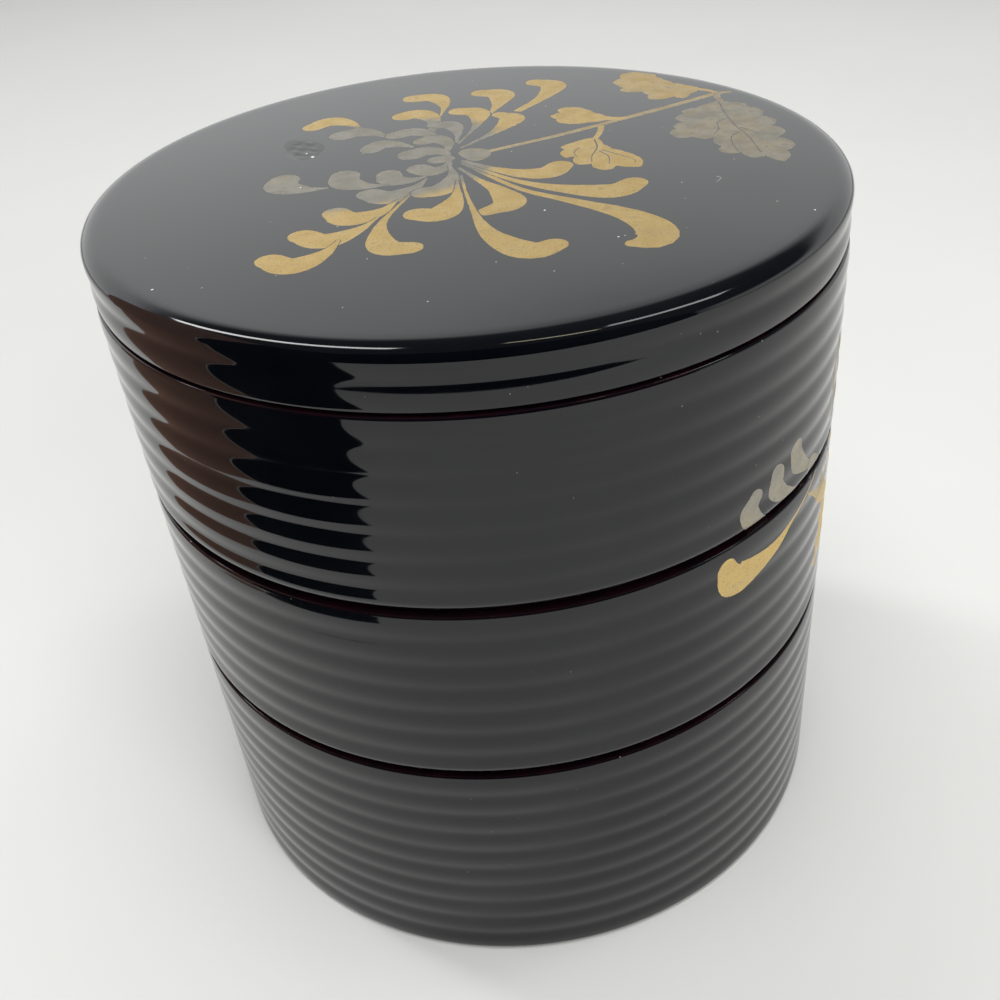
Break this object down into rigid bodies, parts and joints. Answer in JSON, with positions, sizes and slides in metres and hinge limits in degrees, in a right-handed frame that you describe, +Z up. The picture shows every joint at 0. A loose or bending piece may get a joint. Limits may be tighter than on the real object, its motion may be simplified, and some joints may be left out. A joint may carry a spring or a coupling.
{
  "type": "tiered trinket box",
  "caption": "Round lacquer box in stacking tiers that nest by foot rings, with soft ring ribs around the walls and a flat lift-off lid.",
  "frame": {"origin": "centre of the base, on the surface that the box stands on", "axes": "+Z up along the box's axis of revolution; -Y is the side that faces the camera in the picture"},
  "size_m": [0.165, 0.165, 0.1681],
  "materials": {
    "black_lacquer": "polished black lacquer, with a flat gold and silver powder flower on the lid and on one side"
  },
  "bodies": {
    "root": {"lower_tier": "black_lacquer", "middle_tier": "black_lacquer", "upper_tier": "black_lacquer", "lid": "black_lacquer"}
  },
  "joints": []
}
